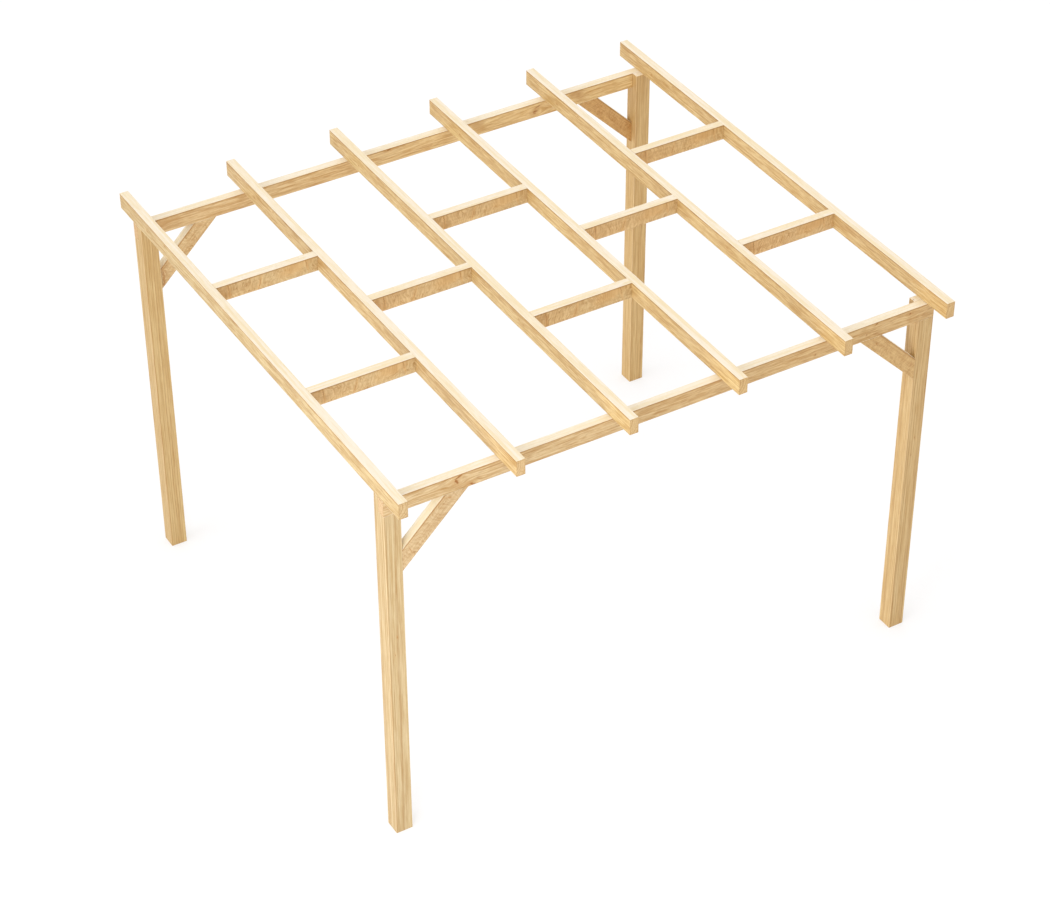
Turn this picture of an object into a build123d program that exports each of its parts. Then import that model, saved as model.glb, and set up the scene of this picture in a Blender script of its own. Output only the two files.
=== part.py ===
from build123d import *
import math
import os

# Wooden pergola in planed softwood, an open frame that stands on four square posts.
# Each post head is rebated on its outer side. A beam lies on the shoulder of the rebate,
# and the tongue that is left behind it ends flush with the beam's top.
# The rafters lie across both beams, with staggered rows of noggings between them,
# and a knee brace stiffens each corner between post and beam.
#
# Millimetres. X runs along the beams, Y along the rafters from front to back, Z up.
# The origin lies on the ground, at the middle of the plan.

# Frame
frame_width = 3110.0  # outside of the left posts to outside of the right posts
frame_depth = 2705.0  # outer face of the front beam to outer face of the back beam
headroom = 2015.0  # ground to the underside of the beams
post_width = 90.0  # the posts are square

# Beams
beam_thickness = 48.0
beam_height = 90.0

# Rafters
rafter_count = 6
rafter_thickness = 48.0
rafter_height = 90.0
rafter_overhang = 152.5  # beyond the outer face of each beam

# Noggings, flush with the top of the rafters
nogging_thickness = 48.0
nogging_height = 90.0
front_row = 530.0  # middle of the rafters to the middle of the front row
back_row = 485.0  # middle of the rafters to the middle of the back row

# Knee braces, at 45 degrees and flush with the outer faces of post and beam
brace_thickness = 48.0
brace_width = 90.0
brace_leg = 355.0  # inner corner of post and beam to the lower edge of the brace

# Eased edges of the planed timber
arris = 2.0

# Sizes that follow
beam_top = headroom + beam_height
rafter_top = beam_top + rafter_height
rafter_length = frame_depth + 2 * rafter_overhang
rafter_spacing = (frame_width - rafter_thickness) / (rafter_count - 1)
bay_width = rafter_spacing - rafter_thickness

# The two ends of each direction: a name and the side of the origin it lies on
width_ends = {"left": -1, "right": 1}
depth_ends = {"front": -1, "back": 1}


def timber(length, thickness, height, along):
    """One board or post, centred in plan, standing on its lowest face, long edges eased."""
    size = {
        Axis.X: (length, thickness, height),
        Axis.Y: (thickness, length, height),
        Axis.Z: (thickness, height, length),
    }[along]
    board = Box(*size, align=(Align.CENTER, Align.CENTER, Align.MIN))
    return chamfer(board.edges().filter_by(along), arris)


def post(across, outward):
    """A post with its head rebated on the outer side, for the beam to lie in."""
    stick = timber(beam_top, post_width, post_width, Axis.Z)
    rebate = Box(post_width, beam_thickness, beam_height, align=(Align.CENTER, Align.CENTER, Align.MIN))
    rebate = Pos(0, outward * (post_width - beam_thickness) / 2, headroom) * rebate
    x = across * (frame_width - post_width) / 2
    y = outward * (frame_depth - post_width) / 2
    return Pos(x, y, 0) * (stick - rebate)


def beam(outward):
    """A beam along X, on the shoulders of two posts."""
    y = outward * (frame_depth - beam_thickness) / 2
    return Pos(0, y, headroom) * timber(frame_width, beam_thickness, beam_height, Axis.X)


def rafter_x(number):
    """Middle of a rafter, counted from 1 at the left."""
    return (rafter_thickness - frame_width) / 2 + (number - 1) * rafter_spacing


def rafter(number):
    """A rafter along Y, lying on both beams."""
    return Pos(rafter_x(number), 0, beam_top) * timber(rafter_length, rafter_thickness, rafter_height, Axis.Y)


def nogging(bay, y):
    """A nogging that fills a bay between two rafters, flush with their top."""
    x = (rafter_x(bay) + rafter_x(bay + 1)) / 2
    z = rafter_top - nogging_height
    return Pos(x, y, z) * timber(bay_width, nogging_thickness, nogging_height, Axis.X)


def brace(across, outward):
    """A knee brace with mitred ends, between the side of a post and the underside of its beam."""
    upper_leg = brace_leg - brace_width * math.sqrt(2)
    # Outline from the inner corner: x along the beam, away from the post, and z down the post
    outline = [(brace_leg, 0), (upper_leg, 0), (0, -upper_leg), (0, -brace_leg)]
    face = Plane.XZ * make_face(Polyline(*[(-across * x, z) for x, z in outline], close=True))
    solid = extrude(face, amount=brace_thickness / 2, both=True)
    slanted = [edge for edge in solid.edges() if abs(edge.tangent_at(0).X * edge.tangent_at(0).Z) > 0.1]
    solid = chamfer(slanted, arris)
    x = across * (frame_width / 2 - post_width)
    y = outward * (frame_depth - brace_thickness) / 2
    return Pos(x, y, headroom) * solid


pieces = {}
for depth_name, outward in depth_ends.items():
    pieces[f"beam_{depth_name}"] = beam(outward)
    for width_name, across in width_ends.items():
        pieces[f"post_{depth_name}_{width_name}"] = post(across, outward)
        pieces[f"brace_{depth_name}_{width_name}"] = brace(across, outward)

for number in range(1, rafter_count + 1):
    pieces[f"rafter_{number}"] = rafter(number)

for bay in range(1, rafter_count):
    if bay % 2:
        pieces[f"nogging_bay_{bay}_front"] = nogging(bay, -front_row)
        pieces[f"nogging_bay_{bay}_back"] = nogging(bay, back_row)
    else:
        pieces[f"nogging_bay_{bay}"] = nogging(bay, 0)

os.makedirs("parts", exist_ok=True)
for name, piece in pieces.items():
    export_step(piece, f"parts/{name}.step")
    print(name, round(piece.volume), "mm3")
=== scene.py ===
import math

import bmesh
import bpy
from mathutils import Euler, Matrix, Vector, noise


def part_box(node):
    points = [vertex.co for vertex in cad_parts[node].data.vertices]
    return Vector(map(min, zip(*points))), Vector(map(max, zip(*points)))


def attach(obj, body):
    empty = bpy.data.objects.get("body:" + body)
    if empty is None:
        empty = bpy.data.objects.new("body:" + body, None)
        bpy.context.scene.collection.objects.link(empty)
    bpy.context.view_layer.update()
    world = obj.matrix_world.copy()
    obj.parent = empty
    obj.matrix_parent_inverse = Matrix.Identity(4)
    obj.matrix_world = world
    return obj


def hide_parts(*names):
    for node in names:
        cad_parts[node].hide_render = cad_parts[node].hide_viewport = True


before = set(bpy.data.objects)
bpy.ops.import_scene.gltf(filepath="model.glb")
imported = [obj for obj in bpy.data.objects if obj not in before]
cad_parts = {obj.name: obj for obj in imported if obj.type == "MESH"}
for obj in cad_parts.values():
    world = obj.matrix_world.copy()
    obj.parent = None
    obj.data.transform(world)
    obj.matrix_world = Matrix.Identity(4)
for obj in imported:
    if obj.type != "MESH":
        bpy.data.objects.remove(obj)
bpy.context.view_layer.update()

scene = bpy.context.scene
scene.view_settings.view_transform = "Standard"
print("pergola: frame loaded,", len(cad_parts), "timbers")


# Small helpers for node trees

def addNode(tree, kind, inputs=None, **settings):
    node = tree.nodes.new(kind)
    for name, value in settings.items():
        setattr(node, name, value)
    for key, value in (inputs or {}).items():
        if isinstance(value, bpy.types.NodeSocket):
            tree.links.new(value, node.inputs[key])
        else:
            node.inputs[key].default_value = value
    return node


def calc(tree, operation, a, b=0.0, c=0.0):
    return addNode(tree, "ShaderNodeMath", {0: a, 1: b, 2: c}, operation=operation).outputs[0]


def vectorCalc(tree, operation, a, b=(0.0, 0.0, 0.0)):
    node = addNode(tree, "ShaderNodeVectorMath", {0: a, 1: b}, operation=operation)
    return node.outputs["Value"] if operation in ("DOT_PRODUCT", "LENGTH") else node.outputs["Vector"]


def scaled(tree, vector, factor):
    node = addNode(tree, "ShaderNodeVectorMath", {"Vector": vector, "Scale": factor}, operation="SCALE")
    return node.outputs["Vector"]


def parts(tree, vector):
    return addNode(tree, "ShaderNodeSeparateXYZ", {0: vector}).outputs


def ramp(tree, value, low, high, start=0.0, end=1.0):
    sockets = {0: value, 1: low, 2: high, 3: start, 4: end}
    return addNode(tree, "ShaderNodeMapRange", sockets, interpolation_type="SMOOTHSTEP").outputs[0]


def mixColour(tree, factor, a, b, blend="MIX"):
    sockets = {0: factor, 6: a, 7: b}
    return addNode(tree, "ShaderNodeMix", sockets, data_type="RGBA", blend_type=blend).outputs[2]


def paint(tree, colour, mask, contrast, over):
    return mixColour(tree, calc(tree, "MULTIPLY", mask, contrast), colour, over)


def addShares(tree, start, masks, shares):
    for name, share in shares.items():
        if masks[name] is not None:
            start = calc(tree, "MULTIPLY_ADD", masks[name], share, start)
    return start


def cloud(tree, place, scale, detail=2.0, roughness=0.5):
    sockets = {"Vector": vectorCalc(tree, "MULTIPLY", place, scale), "Scale": 1.0}
    sockets.update({"Detail": detail, "Roughness": roughness})
    return addNode(tree, "ShaderNodeTexNoise", sockets, noise_dimensions="3D").outputs


def wobble(tree, place, scale, detail):
    colour = cloud(tree, place, scale, detail)["Color"]
    return vectorCalc(tree, "SUBTRACT", colour, (0.5, 0.5, 0.5))


def wave(tree, value, scale, detail):
    sockets = {"W": value, "Scale": scale, "Detail": detail}
    return addNode(tree, "ShaderNodeTexNoise", sockets, noise_dimensions="1D").outputs[0]


def seenPlainly(tree):  # by the camera, in gloss or through glass
    path = addNode(tree, "ShaderNodeLightPath").outputs
    seen = calc(tree, "MAXIMUM", path["Is Camera Ray"], path["Is Glossy Ray"])
    return calc(tree, "MAXIMUM", seen, path["Is Transmission Ray"])


def newGroup(name, inputs, outputs):
    group = bpy.data.node_groups.new(name, "ShaderNodeTree")
    for label, kind, start in inputs:
        socket = group.interface.new_socket(name=label, in_out="INPUT", socket_type="NodeSocket" + kind)
        socket.default_value = start
    for label in outputs:
        kind = "Vector" if label == "Place" else "Float"
        group.interface.new_socket(name=label, in_out="OUTPUT", socket_type="NodeSocket" + kind)
    return group, addNode(group, "NodeGroupInput").outputs, addNode(group, "NodeGroupOutput").inputs


def putOut(group, result, values):
    for label, value in values.items():
        group.links.new(value, result[label])
    return group


# Effects shared by all the timber. Place is a point in the board: X runs along the grain.
# A scale of three numbers is in turns a metre, along the grain and across it.

ringSettings = {
    "driftScale": (2.6, 9.0, 9.0),
    "ruffleScale": (16.0, 90.0, 90.0),
    "ruffleShare": 0.08,
    "leastRuffle": 0.0014,
    "unevenScale": 0.37,
    "unevenBy": 2.6,
    "darkens": (0.35, 0.85),  # parts of a ring's width
    "ends": (0.88, 1.0),
    "checkTurns": 7.0,
    "checkWidth": (0.003, 0.012),
    "checkScale": (1.0, 30.0, 30.0),
    "checkPatches": (0.52, 0.66),
}


def makeGrowthRings():
    group, given, result = newGroup("growthRings", [
        ("Place", "Vector", (0, 0, 0)),
        ("Pith", "Vector", (0, 0, -0.06)),
        ("Ring Width", "Float", 0.006),
        ("Taper", "Float", 0.01),
        ("Wander", "Float", 0.01),
    ], ["Late Wood", "Ring Tone", "Check"])
    place = given["Place"]
    drift = scaled(group, wobble(group, place, ringSettings["driftScale"], 2.0), given["Wander"])
    fromPith = vectorCalc(group, "ADD", vectorCalc(group, "SUBTRACT", place, given["Pith"]), drift)
    radius = vectorCalc(group, "LENGTH", vectorCalc(group, "MULTIPLY", fromPith, (0.0, 1.0, 1.0)))
    radius = calc(group, "MULTIPLY_ADD", parts(group, place)["X"], given["Taper"], radius)
    ruffle = cloud(group, place, ringSettings["ruffleScale"], 3.0)[0]
    ruffleBy = calc(group, "MULTIPLY", given["Wander"], ringSettings["ruffleShare"])
    ruffleBy = calc(group, "ADD", ruffleBy, ringSettings["leastRuffle"])
    radius = calc(group, "MULTIPLY_ADD", ruffle, ruffleBy, radius)
    count = calc(group, "DIVIDE", radius, given["Ring Width"])
    uneven = wave(group, count, ringSettings["unevenScale"], 1.0)
    count = calc(group, "MULTIPLY_ADD", uneven, ringSettings["unevenBy"], count)
    part = calc(group, "FRACT", count)
    darker = ramp(group, part, *ringSettings["darkens"])
    late = calc(group, "MULTIPLY", darker, ramp(group, part, *ringSettings["ends"], 1.0, 0.0))
    ringNumber = calc(group, "FLOOR", count)
    tone = addNode(group, "ShaderNodeTexWhiteNoise", {"W": ringNumber}, noise_dimensions="1D").outputs[0]

    # Checks run out from the pith, in patches
    split = parts(group, fromPith)
    turn = calc(group, "ARCTAN2", split["Z"], split["Y"])
    crack = calc(group, "SUBTRACT", wave(group, turn, ringSettings["checkTurns"], 2.0), 0.5)
    crack = ramp(group, calc(group, "ABSOLUTE", crack), *ringSettings["checkWidth"], 1.0, 0.0)
    patchy = cloud(group, fromPith, ringSettings["checkScale"], 1.0)[0]
    crack = calc(group, "MULTIPLY", crack, ramp(group, patchy, *ringSettings["checkPatches"]))
    return putOut(group, result, {"Late Wood": late, "Ring Tone": tone, "Check": crack})


knotSettings = {
    "raggedScale": (70.0, 150.0, 150.0),
    "raggedBy": 2.6,
    "core": (0.55, 1.1),  # these two are in sizes from the centre
    "halo": (0.8, 3.4),
    "flatter": 0.45,
    "mostPush": 0.85,
}


def makeKnot():
    group, given, result = newGroup("branchKnot", [
        ("Place", "Vector", (0, 0, 0)),
        ("Centre", "Vector", (0, 0, 0)),
        ("Lean", "Vector", (1, 0, 0)),
        ("Size", "Float", 0.008),
        ("Stretch", "Float", 1.6),
        ("Bend", "Float", 2.0),
        ("Strength", "Float", 1.0),
    ], ["Place", "Knot", "Halo"])
    place = given["Place"]
    offset = vectorCalc(group, "SUBTRACT", place, given["Centre"])
    side = vectorCalc(group, "MULTIPLY", offset, (1.0, 0.0, 1.0))  # the branch ran through the board
    ragged = wobble(group, place, knotSettings["raggedScale"], 2.0)
    raggedBy = calc(group, "MULTIPLY", given["Size"], knotSettings["raggedBy"])
    torn = vectorCalc(group, "ADD", side, scaled(group, ragged, raggedBy))
    length = vectorCalc(group, "DOT_PRODUCT", torn, given["Lean"])
    width = vectorCalc(group, "SUBTRACT", torn, scaled(group, given["Lean"], length))
    length = calc(group, "DIVIDE", length, given["Stretch"])
    squared = calc(group, "MULTIPLY_ADD", length, length, vectorCalc(group, "DOT_PRODUCT", width, width))
    reach = calc(group, "DIVIDE", calc(group, "SQRT", squared), given["Size"])
    knot = calc(group, "MULTIPLY", ramp(group, reach, *knotSettings["core"], 1.0, 0.0), given["Strength"])
    halo = ramp(group, reach, *knotSettings["halo"], 1.0, 0.0)

    # The grain bends round the knot
    across = vectorCalc(group, "MULTIPLY", side, (0.0, 0.0, 1.0))
    flatter = calc(group, "MULTIPLY", parts(group, side)["X"], knotSettings["flatter"])
    near = calc(group, "MULTIPLY_ADD", flatter, flatter, vectorCalc(group, "DOT_PRODUCT", across, across))
    swell = calc(group, "MULTIPLY", given["Size"], given["Bend"])
    push = calc(group, "DIVIDE", calc(group, "MULTIPLY", swell, swell), calc(group, "MAXIMUM", near, 1e-6))
    push = calc(group, "MULTIPLY", calc(group, "MINIMUM", push, 1.0), knotSettings["mostPush"])
    bent = vectorCalc(group, "SUBTRACT", place, scaled(group, across, push))
    return putOut(group, result, {"Place": bent, "Knot": knot, "Halo": halo})


fibreFigures = {
    "Streak": {"scale": (4.0, 190.0, 190.0), "detail": 4.0, "roughness": 0.62, "limits": (0.36, 0.64)},
    "Fleck": {"scale": (12.0, 145.0, 145.0), "detail": 3.0, "roughness": 0.6, "limits": (0.38, 0.62)},
    "Pore": {"scale": (55.0, 900.0, 900.0), "detail": 2.0, "roughness": 0.5, "limits": (0.62, 0.74)},
    "Band": {"scale": (1.1, 48.0, 48.0), "detail": 3.0, "roughness": 0.6, "limits": (0.34, 0.66)},
}
fibreSettings = {
    "leanScale": (9.0, 16.0, 16.0),
    "leanBy": 0.09,
    "curlScale": (105.0, 34.0, 34.0),
    "curlLimits": (0.36, 0.66),
    "curlShare": 0.6,
    "creaseScale": (60.0, 17.0, 17.0),
    "creaseWidth": 0.06,
    "faintScale": (14.0, 30.0, 30.0),
    "faintLimits": (0.35, 0.6),
    "faintest": 0.35,
    "rippleLength": 0.0042,
    "wornScale": (3.0, 14.0, 14.0),
    "wornLimits": (0.42, 0.62),
}


def makeFibre():
    names = list(fibreFigures) + ["Curl", "Ripple"]
    group, given, result = newGroup("woodFibre", [("Place", "Vector", (0, 0, 0))], names)
    place = given["Place"]
    figures = {}
    for name, figure in fibreFigures.items():
        mask = cloud(group, place, figure["scale"], figure["detail"], figure["roughness"])[0]
        figures[name] = ramp(group, mask, *figure["limits"])

    # Curl is the marbled figure across the grain, with creases here and there
    lean = scaled(group, wobble(group, place, fibreSettings["leanScale"], 1.0), fibreSettings["leanBy"])
    curlPlace = vectorCalc(group, "ADD", place, lean)
    curl = cloud(group, curlPlace, fibreSettings["curlScale"], 3.0, 0.55)[0]
    curl = calc(group, "MULTIPLY", ramp(group, curl, *fibreSettings["curlLimits"]), fibreSettings["curlShare"])
    crease = cloud(group, curlPlace, fibreSettings["creaseScale"], 1.0)[0]
    crease = calc(group, "ABSOLUTE", calc(group, "SUBTRACT", crease, 0.5))
    crease = ramp(group, crease, 0.0, fibreSettings["creaseWidth"], 1.0, 0.0)
    faint = cloud(group, place, fibreSettings["faintScale"], 1.0)[0]
    faint = ramp(group, faint, *fibreSettings["faintLimits"], fibreSettings["faintest"], 1.0)
    crease = calc(group, "MULTIPLY", crease, faint)

    # Ripple is what the planer leaves, worn off in places
    turns = 2 * math.pi / fibreSettings["rippleLength"]
    ripple = calc(group, "SINE", calc(group, "MULTIPLY", parts(group, place)["X"], turns))
    worn = cloud(group, place, fibreSettings["wornScale"], 1.0)[0]
    worn = ramp(group, worn, *fibreSettings["wornLimits"])
    return putOut(group, result, {
        **figures,
        "Curl": calc(group, "MAXIMUM", curl, crease),
        "Ripple": calc(group, "MULTIPLY", ripple, worn),
    })


edgeWearAndPaintedLightSettings = {
    "rubScale": (7.0, 60.0, 60.0),
    "rubLimits": (0.3, 0.7),
    "rubWidth": (0.6, 1.3),
    "edge": (0.2, 1.0),  # these three are in widths from the edge
    "shade": (0.6, 2.8),
    "rim": (0.4, 2.4),
}


def makeEdgeWearAndPaintedLight():
    group, given, result = newGroup("arrisWear", [
        ("Place", "Vector", (0, 0, 0)),
        ("Half Size", "Vector", (1, 0.024, 0.045)),
        ("Width", "Float", 0.004),
    ], ["Edge", "Shade", "Rim"])
    place, halfSize = given["Place"], given["Half Size"]
    reach = parts(group, vectorCalc(group, "SUBTRACT", halfSize, vectorCalc(group, "ABSOLUTE", place)))
    rub = cloud(group, place, edgeWearAndPaintedLightSettings["rubScale"], 3.0)[0]
    rub = ramp(group, rub, *edgeWearAndPaintedLightSettings["rubLimits"], *edgeWearAndPaintedLightSettings["rubWidth"])
    width = calc(group, "MULTIPLY", given["Width"], rub)
    # Edge is a painted highlight along the edges, with wear in its width; Shade is painted shade below the
    # upper edge of the sides; Rim is painted shade round the end faces
    edge = calc(group, "DIVIDE", calc(group, "MAXIMUM", reach["Y"], reach["Z"]), width)
    below = parts(group, vectorCalc(group, "SUBTRACT", halfSize, place))["Z"]  # from the upper edge
    shade = calc(group, "DIVIDE", calc(group, "MAXIMUM", reach["Y"], below), given["Width"])
    rim = calc(group, "DIVIDE", calc(group, "MINIMUM", reach["Y"], reach["Z"]), width)
    return putOut(group, result, {
        "Edge": ramp(group, edge, *edgeWearAndPaintedLightSettings["edge"], 1.0, 0.0),
        "Shade": ramp(group, shade, *edgeWearAndPaintedLightSettings["shade"], 1.0, 0.0),
        "Rim": ramp(group, rim, *edgeWearAndPaintedLightSettings["rim"], 1.0, 0.0),
    })


growthRings = makeGrowthRings()
branchKnot = makeKnot()
woodFibre = makeFibre()
arrisWear = makeEdgeWearAndPaintedLight()
print("pergola: wood effects made")


def arrange(tree, across=240, down=220, rows=5):
    for number, node in enumerate(tree.nodes):
        node.location = (across * (number // rows), -down * (number % rows))


def useGroup(tree, group, place, values):
    node = addNode(tree, "ShaderNodeGroup", node_tree=group)
    tree.links.new(place, node.inputs["Place"])
    for key, value in values.items():
        node.inputs[key].default_value = value
    return node.outputs


def placeKnots(tree, place, knots):
    knotMask, haloMask = None, None
    for branch in knots:
        values = {key.title(): branch[key] for key in ("size", "stretch", "bend", "strength") if key in branch}
        values.update({"Centre": branch["at"], "Lean": Vector(branch["lean"]).normalized()})
        knot = useGroup(tree, branchKnot, place, values)
        place = knot["Place"]
        if knotMask is None:
            knotMask, haloMask = knot["Knot"], knot["Halo"]
        else:
            knotMask = calc(tree, "MAXIMUM", knotMask, knot["Knot"])
            haloMask = calc(tree, "MAXIMUM", haloMask, knot["Halo"])
    return place, knotMask, haloMask


# How far a face has to look along the board, sideways or up to count as such
faceLimits = {"end": (0.75, 0.95), "side": (0.5, 0.9), "sky": (0.3, 0.68)}


def timberMaterial(name, look, board):
    material = bpy.data.materials.new(name)
    material.use_nodes = True
    tree = material.node_tree
    shader = tree.nodes["Principled BSDF"]
    coordinates = addNode(tree, "ShaderNodeTexCoord").outputs
    turn = Euler(board["turn"])
    shift = -(turn.to_matrix() @ board["middle"])
    mapping = {"Vector": coordinates["Object"], "Location": shift, "Rotation": turn}
    centred = addNode(tree, "ShaderNodeMapping", mapping).outputs[0]
    mapping = {"Vector": coordinates["Normal"], "Rotation": turn}
    facing = parts(tree, addNode(tree, "ShaderNodeMapping", mapping, vector_type="NORMAL").outputs[0])
    endFace = ramp(tree, calc(tree, "ABSOLUTE", facing["X"]), *faceLimits["end"])
    sideFace = ramp(tree, calc(tree, "ABSOLUTE", facing["Y"]), *faceLimits["side"])
    skyward = ramp(tree, parts(tree, coordinates["Normal"])["Z"], *faceLimits["sky"])

    place, knotMask, haloMask = placeKnots(tree, centred, board["knots"])
    grainPlace = vectorCalc(tree, "ADD", place, (board["seed"] * look["seedShift"], 0.0, 0.0))
    rings = useGroup(tree, growthRings, grainPlace, {
        "Pith": board["pith"],
        "Ring Width": look["ringWidth"],
        "Taper": board["taper"],
        "Wander": look["wander"],
    })
    fibre = useGroup(tree, woodFibre, grainPlace, {})
    wearAndPaintedLight = useGroup(tree, arrisWear, centred, {"Half Size": board["half"], "Width": look["arrisWidth"]})

    # The fresh wood
    toned = calc(tree, "MULTIPLY_ADD", rings["Ring Tone"], look["toneSpread"], 1 - look["toneSpread"])
    late = calc(tree, "MULTIPLY", calc(tree, "MULTIPLY", rings["Late Wood"], toned), look["ringContrast"])
    crack = calc(tree, "MULTIPLY", calc(tree, "MULTIPLY", rings["Check"], endFace), look["crackContrast"])
    colour = mixColour(tree, late, look["earlyWood"], look["lateWood"])
    colour = paint(tree, colour, fibre["Band"], look["bandContrast"], look["bandColour"])
    for figure in ("Streak", "Fleck", "Curl"):
        toned = mixColour(tree, fibre[figure], look["paleColour"], look["streakColour"])
        colour = mixColour(tree, look[figure.lower() + "Contrast"], colour, toned)
    colour = paint(tree, colour, fibre["Pore"], look["poreContrast"], look["poreColour"])
    colour = paint(tree, colour, endFace, look["endContrast"], look["endColour"])
    endRings = calc(tree, "MULTIPLY", late, endFace)
    colour = paint(tree, colour, endRings, look["endRingContrast"], look["lateWood"])
    # Painted shade: a darker rim round the edges of the end faces
    rim = calc(tree, "MULTIPLY", wearAndPaintedLight["Rim"], endFace)
    colour = paint(tree, colour, rim, look["rimContrast"], look["shadeColour"])

    # The tone of this one timber, from end to end, partly painted light
    along = ramp(tree, parts(tree, centred)["X"], -board["half"].x, board["half"].x)
    nearTone = [tint * tone / fade for tint, tone, fade in zip(look["tint"], board["tone"], board["fade"])]
    farTone = [tint * tone * fade for tint, tone, fade in zip(look["tint"], board["tone"], board["fade"])]
    colour = mixColour(tree, 1.0, colour, mixColour(tree, along, nearTone, farTone), "MULTIPLY")

    # Knots, painted light on upper faces, checks, painted shade below the upper edges and a painted highlight
    # with wear along the edges
    masks = {
        "late": late,
        "streak": fibre["Streak"],
        "fleck": fibre["Fleck"],
        "pore": fibre["Pore"],
        "ripple": fibre["Ripple"],
        "crack": crack,
        "end": endFace,
        "knot": knotMask,
    }
    if knotMask is not None:
        colour = paint(tree, colour, haloMask, look["haloContrast"], look["haloColour"])
        colour = paint(tree, colour, knotMask, look["knotContrast"], look["knotColour"])
    # Painted light: faces that look up are painted paler, standing in for the light from above
    uneven = addShares(tree, fibre["Band"], masks, look["bleachBy"])
    uneven = ramp(tree, uneven, *look["bleachLimits"])
    paintedTopLight = mixColour(tree, uneven, look["bleachColour"], look["bleachShade"])
    colour = paint(tree, colour, skyward, look["bleachContrast"], paintedTopLight)
    colour = mixColour(tree, crack, colour, look["knotColour"])
    # Painted shade: a dark line on the side faces just below the upper edge
    paintedShadeBelowEdge = calc(tree, "MULTIPLY", wearAndPaintedLight["Shade"], look["shadeContrast"])
    colour = paint(tree, colour, paintedShadeBelowEdge, sideFace, look["shadeColour"])
    # Painted highlight with some wear: a pale line along the edges, strongest where faces look up
    rubbedAndPaintedHighlight = calc(tree, "MULTIPLY", wearAndPaintedLight["Edge"], ramp(tree, skyward, 0.0, 1.0, look["sideArris"], 1.0))
    colour = paint(tree, colour, rubbedAndPaintedHighlight, look["arrisContrast"], look["arrisColour"])
    tree.links.new(colour, shader.inputs["Base Color"])

    roughness = addShares(tree, look["roughness"], masks, look["roughBy"])
    tree.links.new(roughness, shader.inputs["Roughness"])
    shader.inputs["IOR"].default_value = look["refraction"]
    shader.inputs["Specular IOR Level"].default_value = look["specular"]
    height = addShares(tree, fibre["Streak"], masks, look["reliefBy"])
    relief = {"Strength": look["bump"], "Distance": look["bumpDepth"], "Height": height}
    tree.links.new(addNode(tree, "ShaderNodeBump", relief).outputs[0], shader.inputs["Normal"])
    arrange(tree)
    return material


# Timber pieces

wood = {
    "earlyWood": (0.66, 0.475, 0.24, 1),
    "lateWood": (0.37, 0.175, 0.038, 1),
    "bandColour": (0.49, 0.285, 0.09, 1),
    "paleColour": (0.74, 0.565, 0.325, 1),
    "streakColour": (0.40, 0.20, 0.045, 1),
    "poreColour": (0.38, 0.206, 0.069, 1),
    "haloColour": (0.50, 0.272, 0.086, 1),
    "knotColour": (0.34, 0.135, 0.014, 1),
    "endColour": (0.645, 0.44, 0.245, 1),
    # painted light: paler colours for faces that look up
    "bleachColour": (0.864, 0.78, 0.645, 1),
    "bleachShade": (0.82, 0.69, 0.445, 1),
    # the colour of the painted shade below the upper edges and round the end faces
    "shadeColour": (0.34, 0.145, 0.012, 1),
    # painted highlight along the edges, with wear
    "arrisColour": (0.86, 0.77, 0.60, 1),
    "tint": (1, 1, 1, 1),
    "ringWidth": 0.0065,
    "wander": 0.03,
    "toneSpread": 0.6,
    "seedShift": 3.71,  # metres along the grain from one timber's wood to the next
    "ringContrast": 0.8,
    "bandContrast": 0.35,
    "streakContrast": 0.4,
    "fleckContrast": 0.3,
    "curlContrast": 0.0,
    "poreContrast": 0.3,
    "haloContrast": 0.5,
    "knotContrast": 0.95,
    "endContrast": 0.55,
    "endRingContrast": 0.6,
    "rimContrast": 0.22,
    "crackContrast": 0.5,
    "bleachContrast": 0.9,
    "bleachBy": {"streak": 0.4, "fleck": 0.5},
    "bleachLimits": (0.2, 1.6),
    "shadeContrast": 0.75,
    "arrisContrast": 0.6,
    "arrisWidth": 0.004,
    "sideArris": 0.2,
    "roughness": 0.55,
    "roughBy": {"late": -0.08, "streak": 0.08, "end": 0.15, "knot": -0.15},
    "specular": 0.5,
    "refraction": 1.5,
    "bump": 0.5,
    "bumpDepth": 0.0006,
    "reliefBy": {"late": 0.5, "pore": -0.5, "ripple": 0.12, "crack": -2.0, "knot": 0.8},
}
toneOf = {  # every timber has its own tone, partly the wood's own and partly painted light, following how the light falls across the frame
    "beam_back": (1.050, 1.038, 0.957),
    "beam_front": (0.950, 0.938, 0.897),
    "brace_back_left": (0.965, 0.980, 0.932),
    "brace_back_right": (0.918, 0.782, 0.518),
    "brace_front_left": (0.919, 0.956, 0.997),
    "brace_front_right": (0.942, 0.890, 0.710),
    "nogging_bay_1_back": (0.890, 0.886, 0.818),
    "nogging_bay_1_front": (0.929, 0.937, 0.897),
    "nogging_bay_2": (0.916, 0.890, 0.803),
    "nogging_bay_3_back": (0.922, 0.897, 0.802),
    "nogging_bay_3_front": (0.917, 0.902, 0.811),
    "nogging_bay_4": (0.939, 0.906, 0.813),
    "nogging_bay_5_back": (0.922, 0.869, 0.725),
    "nogging_bay_5_front": (0.989, 0.943, 0.840),
    "post_back_left": (0.996, 0.980, 0.878),
    "post_back_right": (1.060, 1.017, 0.883),
    "post_front_left": (0.985, 1.042, 1.127),
    "post_front_right": (1.037, 1.017, 0.939),
    "rafter_1": (0.912, 0.931, 0.906),
    "rafter_2": (1.008, 1.009, 0.971),
    "rafter_3": (1.013, 1.018, 0.945),
    "rafter_4": (1.020, 1.005, 0.893),
    "rafter_5": (0.986, 0.960, 0.848),
    "rafter_6": (1.001, 0.974, 0.867),
}
fadeOf = {  # and some are painted lighter or darker from end to end, standing in for the fall of light
    "beam_back": (1.095, 1.105, 1.06),
    "beam_front": (1.008, 0.972, 0.895),
    "nogging": (0.955, 0.985, 1.02),
}
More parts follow.
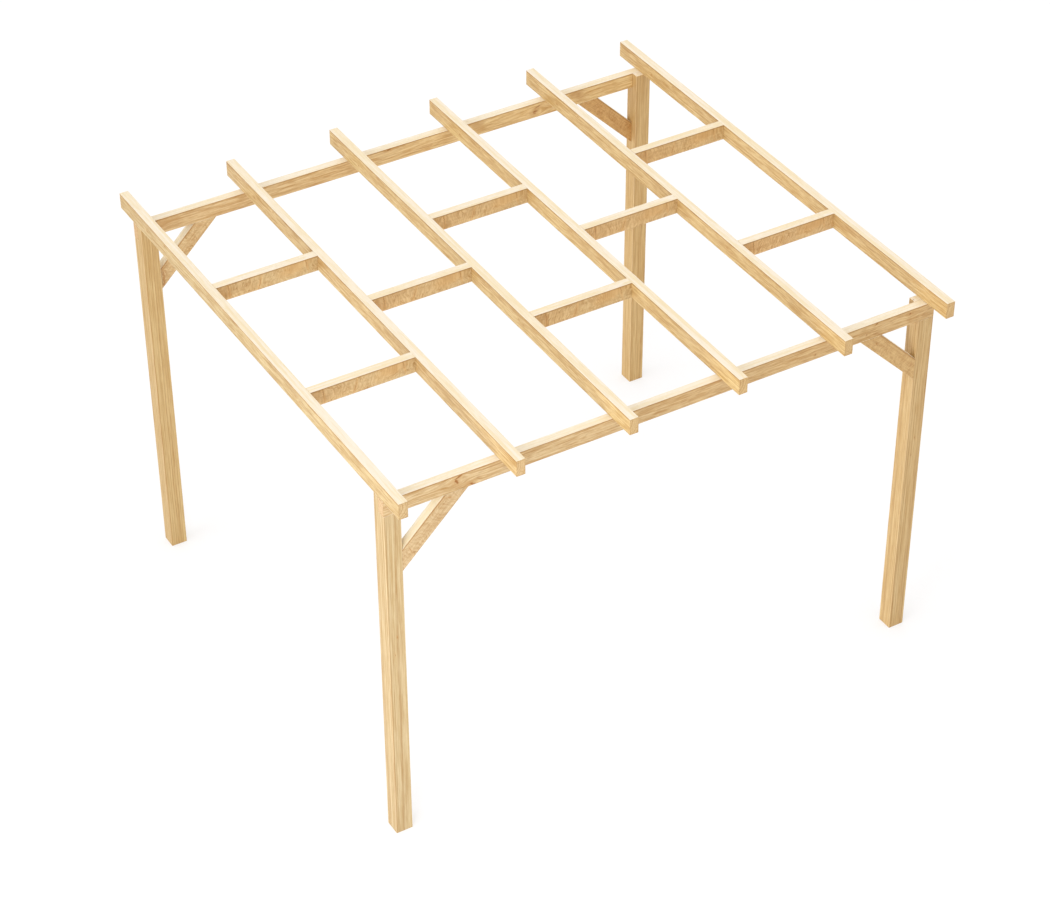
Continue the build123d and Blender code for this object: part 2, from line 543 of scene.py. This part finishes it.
alongX, alongY, alongZ = (0, 0, 0), (0, 0, -math.pi / 2), (0, math.pi / 2, 0)
grainOf = {alongX: Vector((1, 0, 0)), alongY: Vector((0, 1, 0)), alongZ: Vector((0, 0, 1))}


def newBoard(node, turn, seed, growth):
    low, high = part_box(node)
    turned = Euler(turn).to_matrix() @ (high - low)
    fade = fadeOf.get(node, fadeOf.get(node.split("_")[0], (1, 1, 1)))
    return {
        "middle": (low + high) / 2,
        "half": Vector([abs(value) / 2 for value in turned]),
        "turn": turn,
        "seed": seed,
        "tone": toneOf[node] + (1,),
        "fade": fade + (1,),
        **growth,
    }


meshSettings = {
    "parallel": 0.99,  # these two are cosines
    "upwards": 0.9,
    "cornerAngle": 0.5,
    "flatAngle": 0.01,
    "mergeWithin": 1e-6,
    "arrisSegments": 3,
    "endSegments": 2,
    "largestArris": 4e-4,  # square metres; larger faces are flats, and shaded as such
}


def runsAlong(edge, direction):
    line = (edge.verts[0].co - edge.verts[1].co).normalized()
    return abs(line.dot(direction)) > meshSettings["parallel"]


def isCorner(edge):
    return len(edge.link_faces) == 2 and edge.calc_face_angle(0.0) > meshSettings["cornerAngle"]


def moveFaces(bm, faces, step):
    raised = bmesh.ops.extrude_face_region(bm, geom=faces)["geom"]
    corners = [item for item in raised if isinstance(item, bmesh.types.BMVert)]
    bmesh.ops.translate(bm, verts=corners, vec=step)


def makeBlock(low, high):
    bm = bmesh.new()
    bmesh.ops.create_cube(bm, size=1.0)
    bmesh.ops.scale(bm, verts=bm.verts, vec=high - low)
    bmesh.ops.translate(bm, verts=bm.verts, vec=(low + high) / 2)
    return bm


def cutLengthwise(bm, direction, spacing):
    edges = [edge for edge in bm.edges if runsAlong(edge, direction)]
    cuts = round(edges[0].calc_length() / spacing)
    bmesh.ops.subdivide_edges(bm, edges=edges, cuts=cuts, use_grid_fill=False)


def easeEdges(bm, direction, settings):
    ends = (False, settings["endArris"], meshSettings["endSegments"])
    sides = (True, settings["arris"], meshSettings["arrisSegments"])
    for lengthwise, width, segments in (ends, sides):
        edges = [edge for edge in bm.edges if isCorner(edge) and runsAlong(edge, direction) == lengthwise]
        bmesh.ops.bevel(
            bm, geom=edges, offset=width, offset_type="OFFSET", segments=segments, profile=0.5,
            affect="EDGES", material=-1, clamp_overlap=True)


# Small knocks along the edges, always inwards
knockSettings = {"scale": 23.0, "seedShift": 7.3, "seldom": 0.18, "steepness": 2, "sharpness": 1.02}


def knockEdges(bm, middle, direction, depth, seed):
    for vert in bm.verts:
        spot = vert.co * knockSettings["scale"] + Vector((seed * knockSettings["seedShift"], 0, 0))
        knock = noise.noise(spot) - knockSettings["seldom"]
        if knock > 0 and vert.calc_shell_factor() > knockSettings["sharpness"]:
            inward = middle - vert.co
            inward -= direction * inward.dot(direction)
            vert.co += inward.normalized() * min(knock * knockSettings["steepness"], 1) * depth


def finishPiece(bm, name, node, material):
    bmesh.ops.remove_doubles(bm, verts=bm.verts, dist=meshSettings["mergeWithin"])
    bmesh.ops.recalc_face_normals(bm, faces=bm.faces)
    for face in bm.faces:
        face.smooth = face.calc_area() < meshSettings["largestArris"]
    mesh = bpy.data.meshes.new(name)
    bm.to_mesh(mesh)
    bm.free()
    piece = bpy.data.objects.new(name, mesh)
    scene.collection.objects.link(piece)
    mesh.materials.append(material)
    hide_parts(node)
    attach(piece, "root")


def makeTimber(name, node, settings, look, number, growth):
    low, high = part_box(node)
    seed = number + settings["firstSeed"]
    direction = grainOf[settings["turn"]]
    bm = makeBlock(low, high)
    cutLengthwise(bm, direction, settings["cutSpacing"])
    easeEdges(bm, direction, settings)
    knockEdges(bm, (low + high) / 2, direction, settings["knockDepth"], seed)
    board = newBoard(node, settings["turn"], seed, growth)
    finishPiece(bm, name, node, timberMaterial(name + "Wood", look, board))


# Posts
postSettings = {"slot": "post_timber", "firstSeed": 1, "arris": 0.002, "endArris": 0.001}
postLook = {
    **wood,
    "tint": (0.916, 0.909, 0.856, 1),
    # painted highlight along the post corners, with wear
    "arrisColour": (0.86, 0.68, 0.40, 1),
    "wander": 0.008,
    "ringWidth": 0.0095,
    "ringContrast": 1.0,
    "bandContrast": 0.4,
    "streakContrast": 0.4,
    "fleckContrast": 0.12,
    "shadeContrast": 0.4,
    "sideArris": 0.55,
}
postKnots = [
    {"at": (0.2195, -0.045, -0.002), "lean": (1, 0, 0.2), "size": 0.0024, "stretch": 3.0, "bend": 2.0},
    {"at": (0.1125, -0.045, 0.012), "lean": (1, 0, 0), "size": 0.0018, "stretch": 5.0, "bend": 2.0},
]
posts = {
    "front_left": {"pith": (0, 0.09, -0.13), "taper": 0.004, "knots": postKnots},
    "front_right": {"pith": (0, 0.11, -0.10), "taper": 0.004, "knots": postKnots},
    "back_left": {"pith": (0, 0.10, -0.12), "taper": 0.004, "knots": []},
    "back_right": {"pith": (0, 0.12, -0.09), "taper": 0.004, "knots": []},
}
for number, (place, growth) in enumerate(posts.items()):
    node = "post_" + place
    low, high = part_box(node)
    beamLow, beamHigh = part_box("beam_" + place.split("_")[0])
    front = place.startswith("front")
    split = beamHigh.y if front else beamLow.y  # the tongue stands behind this plane
    bm = makeBlock(low, Vector((high.x, high.y, beamLow.z)))
    everything = bm.verts[:] + bm.edges[:] + bm.faces[:]
    bmesh.ops.bisect_plane(bm, geom=everything, plane_co=(0, split, 0), plane_no=(0, 1, 0))
    top = [face for face in bm.faces if face.normal.z > meshSettings["upwards"]]
    top = [face for face in top if (face.calc_center_median().y > split) == front]
    moveFaces(bm, top, (0, 0, high.z - beamLow.z))
    bmesh.ops.delete(bm, geom=top, context="FACES")
    bmesh.ops.dissolve_limit(bm, angle_limit=meshSettings["flatAngle"], verts=bm.verts, edges=bm.edges)
    easeEdges(bm, grainOf[alongZ], postSettings)
    board = newBoard(node, alongZ, number + postSettings["firstSeed"], growth)
    name = "post" + place.title().replace("_", "")
    finishPiece(bm, name, node, timberMaterial(node + "Wood", postLook, board))
print("pergola: posts made")

# Beams
planed = {"arris": 0.002, "endArris": 0.001, "cutSpacing": 0.05, "knockDepth": 0.0006}
beamSettings = {**planed, "slot": "beam_timber", "turn": alongX, "firstSeed": 11}
beamLook = {
    **wood,
    "tint": (1.042, 1.031, 0.994, 1),
    # painted light on the upper faces
    "bleachColour": (0.88, 0.805, 0.66, 1),
    "bleachShade": (0.84, 0.725, 0.50, 1),
    "lateWood": (0.30, 0.13, 0.024, 1),
    "knotColour": (0.30, 0.105, 0.003, 1),
    "wander": 0.06,
    "ringWidth": 0.0105,
    "ringContrast": 1.0,
    "bandContrast": 0.55,
    "streakContrast": 0.55,
    "fleckContrast": 0.4,
}
frontBeamKnots = [
    {"at": (-1.160, -0.024, 0.031), "lean": (0.93, 0, 0.36), "size": 0.005, "stretch": 5.5, "bend": 1.0},
    {"at": (-1.173, -0.024, 0.011), "lean": (-0.4, 0, 0.9), "size": 0.010, "stretch": 1.9, "bend": 2.4},
    {"at": (-1.088, -0.024, -0.030), "lean": (0.9, 0, -0.4), "size": 0.0075, "stretch": 3.0, "bend": 2.2},
    {"at": (0.837, -0.024, -0.017), "lean": (1, 0, 0.4), "size": 0.003, "stretch": 1.6, "bend": 2.0},
    {"at": (1.145, -0.024, -0.01), "lean": (0.4, 0, 1), "size": 0.003, "stretch": 1.6, "bend": 2.0},
    {"at": (1.202, -0.024, 0.034), "lean": (1, 0, 0.6), "size": 0.004, "stretch": 3.0, "bend": 2.0},
    {"at": (1.406, -0.024, 0.023), "lean": (1, 0, 0.2), "size": 0.004, "stretch": 2.0, "bend": 3.0},
]
weak = {"strength": 0.12}  # little more than the darker halo round it
# Painted shade: soft darker patches on the back beam just right of the rafters, where the rafters shade it
paintedShadePatch = {"lean": (1, 0, -0.6), "size": 0.014, "stretch": 2.0, "bend": 1.0, "strength": 0.0}
backBeamKnots = [
    {"at": (0.830, -0.024, -0.009), "lean": (1, 0, 0.6), "size": 0.0105, "stretch": 1.5, "bend": 2.2},
    {"at": (0.848, -0.024, 0.003), "lean": (1, 0, 0.6), "size": 0.0045, "stretch": 5.5, "bend": 1.0},
    {"at": (-0.080, -0.024, 0.036), "lean": (1, 0, 0.3), "size": 0.005, "stretch": 3.5, "bend": 2.6},
    # Painted shade: a faint dark patch just right of a rafter, where the rafter shades the beam
    {"at": (1.105, -0.024, 0.016), "lean": (1, 0, -0.9), "size": 0.016, "stretch": 2.2, "bend": 1.0, **weak},
    {"at": (0.455, -0.024, 0.024), **paintedShadePatch},
    {"at": (-1.430, -0.024, 0.020), **paintedShadePatch},
]
beams = {
    "front": {"pith": (0, -0.072, -0.015), "taper": -0.12, "knots": frontBeamKnots},
    "back": {"pith": (0, -0.085, 0.05), "taper": 0.07, "knots": backBeamKnots},
}
for number, (place, growth) in enumerate(beams.items()):
    makeTimber("beam" + place.title(), "beam_" + place, beamSettings, beamLook, number, growth)
print("pergola: beams made")

# Rafters
rafterSettings = {**planed, "slot": "rafter_timber", "turn": alongY, "firstSeed": 20}
rafterLook = {
    **wood,
    "tint": (1.012, 1.022, 0.974, 1),
    "ringWidth": 0.012,
    "ringContrast": 1.0,
    "fleckContrast": 0.42,
    "streakContrast": 0.4,
}
rafterKnots = [
    {"at": (1.175, 0.024, -0.003), "lean": (1, 0, 0.3), "size": 0.0035, "stretch": 1.8, "bend": 2.5},
    {"at": (0.959, 0.024, 0.027), "lean": (1, 0, -0.2), "size": 0.003, "stretch": 2.0, "bend": 2.5},
    {"at": (-0.488, 0.024, 0.005), "lean": (1, 0, 0.2), "size": 0.003, "stretch": 2.2, "bend": 2.5},
    {"at": (-0.532, 0.024, -0.002), "lean": (1, 0, -0.1), "size": 0.0026, "stretch": 2.0, "bend": 2.5},
]
rafterGrowth = {"pith": (0, 0.085, 0.03), "taper": 0.012, "knots": rafterKnots}
for number in range(1, 7):
    makeTimber(f"rafter{number}", f"rafter_{number}", rafterSettings, rafterLook, number, rafterGrowth)
print("pergola: rafters made")

# Noggings
noggingSettings = {**planed, "slot": "nogging_timber", "turn": alongX, "firstSeed": 31}
noggingLook = {
    **wood,
    "tint": (1.108, 1.077, 1.025, 1),
    "knotColour": (0.42, 0.2, 0.05, 1),
    "haloColour": (0.70, 0.38, 0.11, 1),
    "wander": 0.06,
    "ringWidth": 0.01,
    "ringContrast": 0.8,
    "curlContrast": 0.66,
    "fleckContrast": 0.42,
    "streakContrast": 0.48,
    "haloContrast": 0.38,
    "knotContrast": 0.85,
}
noggingKnots = [
    # Painted shade: a darker patch low at the left end, where the rafter shades the nogging
    {"at": (-0.266, -0.024, -0.022), "lean": (0.2, 0, 1), "size": 0.014, "stretch": 1.5, "bend": 2.0, **weak},
    {"at": (0.150, -0.024, 0.020), "lean": (1, 0, 0.2), "size": 0.018, "stretch": 2.2, "bend": 1.0, **weak},
    {"at": (-0.214, -0.024, 0.006), "lean": (-0.12, 0, 1), "size": 0.0036, "stretch": 11.0, "bend": 4.0},
    {"at": (-0.042, -0.024, -0.006), "lean": (0.35, 0, 1), "size": 0.003, "stretch": 9.0, "bend": 3.0},
    {"at": (0.217, -0.024, 0.024), "lean": (-0.25, 0, 1), "size": 0.0034, "stretch": 7.0, "bend": 4.0},
]
noggingGrowth = {"pith": (0, -0.07, 0.05), "taper": 0.12, "knots": noggingKnots}
noggings = sorted(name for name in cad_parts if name.startswith("nogging"))
for number, node in enumerate(noggings):
    name = "nogging" + node.replace("nogging_bay_", "").title().replace("_", "")
    makeTimber(name, node, noggingSettings, noggingLook, number, noggingGrowth)
print("pergola: noggings made")

# Knee braces
braceSettings = {"slot": "brace_timber", "firstSeed": 51, "width": 0.09, "arris": 0.002, "endArris": 0.0006}
braceLook = {
    **wood,
    "tint": (0.978, 0.919, 0.856, 1),
    # painted light on the upper faces, paler still, standing in for light that the beam and post keep off
    "bleachColour": (0.94, 0.875, 0.69, 1),
    "bleachShade": (0.91, 0.80, 0.54, 1),
    "knotColour": (0.42, 0.2, 0.05, 1),
    "wander": 0.06,
    "ringWidth": 0.011,
    "ringContrast": 1.0,
    "curlContrast": 0.55,
    "fleckContrast": 0.5,
    "streakContrast": 0.5,
    "haloContrast": 0.2,
    "knotContrast": 0.85,
}
braceKnots = [
    {"at": (-0.144, -0.024, 0.0), "lean": (0.42, 0, 0.9), "size": 0.0022, "stretch": 14.0, "bend": 3.0},
    {"at": (0.161, -0.024, 0.011), "lean": (0.58, 0, -0.81), "size": 0.0022, "stretch": 9.0, "bend": 3.0},
]
# Painted shadow: a dark knot-shaped streak at the foot of the back left brace, beside the post, stands for the
# post's shadow on the brace
paintedFootShadow = {"at": (-0.1845, -0.024, -0.0215), "lean": (1, 0, 1), "size": 0.0065, "stretch": 13.0, "bend": 0.4}
for number, place in enumerate(("front_left", "front_right", "back_left", "back_right")):
    node = "brace_" + place
    low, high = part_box(node)
    left = place.endswith("left")
    outwards = 1 if left else -1
    corner = Vector((low.x if left else high.x, (low.y + high.y) / 2, high.z))  # of beam and post
    thick = high.y - low.y
    leg = high.x - low.x
    upper = leg - braceSettings["width"] * math.sqrt(2)
    bm = bmesh.new()
    outline = [(leg, 0), (upper, 0), (0, -upper), (0, -leg)]
    corners = [bm.verts.new((corner.x + outwards * x, low.y, corner.z + z)) for x, z in outline]
    moveFaces(bm, [bm.faces.new(corners)], (0, thick, 0))
    bmesh.ops.recalc_face_normals(bm, faces=bm.faces)
    easeEdges(bm, Vector((outwards, 0, 1)).normalized(), braceSettings)
    knots = braceKnots + [paintedFootShadow] if place == "back_left" else braceKnots
    growth = {"pith": (0, -0.07, 0.05), "taper": 0.12, "knots": knots}
    board = newBoard(node, (0, math.pi / 4 * outwards, 0), number + braceSettings["firstSeed"], growth)
    inset = (leg + upper) / 4
    board["middle"] = corner + Vector((outwards * inset, 0, -inset))
    board["half"] = Vector((leg / math.sqrt(2), thick / 2, braceSettings["width"] / 2))
    name = "brace" + place.title().replace("_", "")
    finishPiece(bm, name, node, timberMaterial(name + "Wood", braceLook, board))
print("pergola: braces made")

# Floor, white and far reaching
floorSettings = {
    "radius": 70.0,
    "segments": 96,
    "colour": (0.92, 0.92, 0.92, 1),
    "roughness": 0.9,
    "specular": 0.1,
    "lift": 0.55,
    "fade": (5.0, 14.0),
}
bm = bmesh.new()
bmesh.ops.create_circle(bm, cap_ends=True, radius=floorSettings["radius"], segments=floorSettings["segments"])
floorMesh = bpy.data.meshes.new("floor")
bm.to_mesh(floorMesh)
bm.free()
floor = bpy.data.objects.new("floor", floorMesh)
scene.collection.objects.link(floor)
paleFloor = bpy.data.materials.new("paleFloor")
paleFloor.use_nodes = True
tree = paleFloor.node_tree
shader = tree.nodes["Principled BSDF"]
shader.inputs["Base Color"].default_value = floorSettings["colour"]
shader.inputs["Roughness"].default_value = floorSettings["roughness"]
shader.inputs["Specular IOR Level"].default_value = floorSettings["specular"]
white = addNode(tree, "ShaderNodeEmission", {"Color": (1, 1, 1, 1), "Strength": 1.0})
away = vectorCalc(tree, "LENGTH", addNode(tree, "ShaderNodeTexCoord").outputs["Object"])
lift = calc(tree, "MAXIMUM", ramp(tree, away, *floorSettings["fade"]), floorSettings["lift"])
share = calc(tree, "MULTIPLY", seenPlainly(tree), lift)
mixed = addNode(tree, "ShaderNodeMixShader", {0: share, 1: shader.outputs[0], 2: white.outputs[0]})
tree.links.new(mixed.outputs[0], tree.nodes["Material Output"].inputs["Surface"])
floorMesh.materials.append(paleFloor)

# World: soft light from all round, and plain white where it is seen
worldSettings = {"colour": (1.0, 0.976, 0.966, 1), "strength": 0.67}
world = bpy.data.worlds.new("studio")
scene.world = world
world.use_nodes = True
tree = world.node_tree
ambient = tree.nodes["Background"]
ambient.inputs["Color"].default_value = worldSettings["colour"]
ambient.inputs["Strength"].default_value = worldSettings["strength"]
backdrop = addNode(tree, "ShaderNodeBackground", {"Color": (1, 1, 1, 1), "Strength": 1.0})
sockets = {0: seenPlainly(tree), 1: ambient.outputs[0], 2: backdrop.outputs[0]}
mixed = addNode(tree, "ShaderNodeMixShader", sockets)
tree.links.new(mixed.outputs[0], tree.nodes["World Output"].inputs["Surface"])

# Lamps: the sky above and from the left, and two soft boxes by the front left corner
lamps = {
    "topSky": {
        "kind": "SUN", "from": (0.0, 0.0, 10.0), "to": (0.0, 0.0, 0.0),
        "angle": 90, "energy": 1.22, "colour": (1.0, 1.0, 1.0),
    },
    "leftSky": {
        "kind": "SUN", "from": (-10.0, 0.0, 3.6), "to": (0.0, 0.0, 0.0),
        "angle": 50, "energy": 1.11, "colour": (0.854, 0.9, 1.0),
    },
    "cornerLow": {
        "kind": "AREA", "from": (-4.6, -4.2, 1.6), "to": (-1.3, -1.2, 1.3),
        "size": 1.8, "energy": 100, "colour": (0.89, 0.94, 1.0),
    },
    "cornerHigh": {
        "kind": "AREA", "from": (-4.2, -4.0, 4.6), "to": (-1.0, -1.0, 1.8),
        "size": 2.2, "energy": 32, "colour": (0.94, 0.97, 1.0),
    },
}
for name, lamp in lamps.items():
    data = bpy.data.lights.new(name, lamp["kind"])
    data.energy = lamp["energy"]
    data.color = lamp["colour"]
    if lamp["kind"] == "SUN":
        data.angle = math.radians(lamp["angle"])
    else:
        data.shape = "SQUARE"
        data.size = lamp["size"]
    lampObject = bpy.data.objects.new(name, data)
    scene.collection.objects.link(lampObject)
    lampObject.location = lamp["from"]
    aim = Vector(lamp["to"]) - Vector(lamp["from"])
    lampObject.rotation_euler = aim.to_track_quat("-Z", "Y").to_euler()

# Camera, standing front left and looking down on the roof
cameraSettings = {
    "place": (-6.18135, -10.47035, 10.24912),
    "yaw": 30.5166,
    "pitch": -37.5689,
    "roll": -0.2366,
    "lens": 98.942,
    "sensor": 36.0,
    "farthest": 300.0,
}
cameraData = bpy.data.cameras.new("camera")
cameraData.sensor_width = cameraSettings["sensor"]
cameraData.sensor_fit = "HORIZONTAL"
cameraData.lens = cameraSettings["lens"]
cameraData.clip_end = cameraSettings["farthest"]
camera = bpy.data.objects.new("camera", cameraData)
scene.collection.objects.link(camera)
camera.matrix_world = (
    Matrix.Translation(cameraSettings["place"])
    @ Matrix.Rotation(-math.radians(cameraSettings["yaw"]), 4, "Z")
    @ Matrix.Rotation(math.radians(90 + cameraSettings["pitch"]), 4, "X")
    @ Matrix.Rotation(math.radians(cameraSettings["roll"]), 4, "Z")
)
scene.camera = camera
print("pergola: floor, light and camera placed")
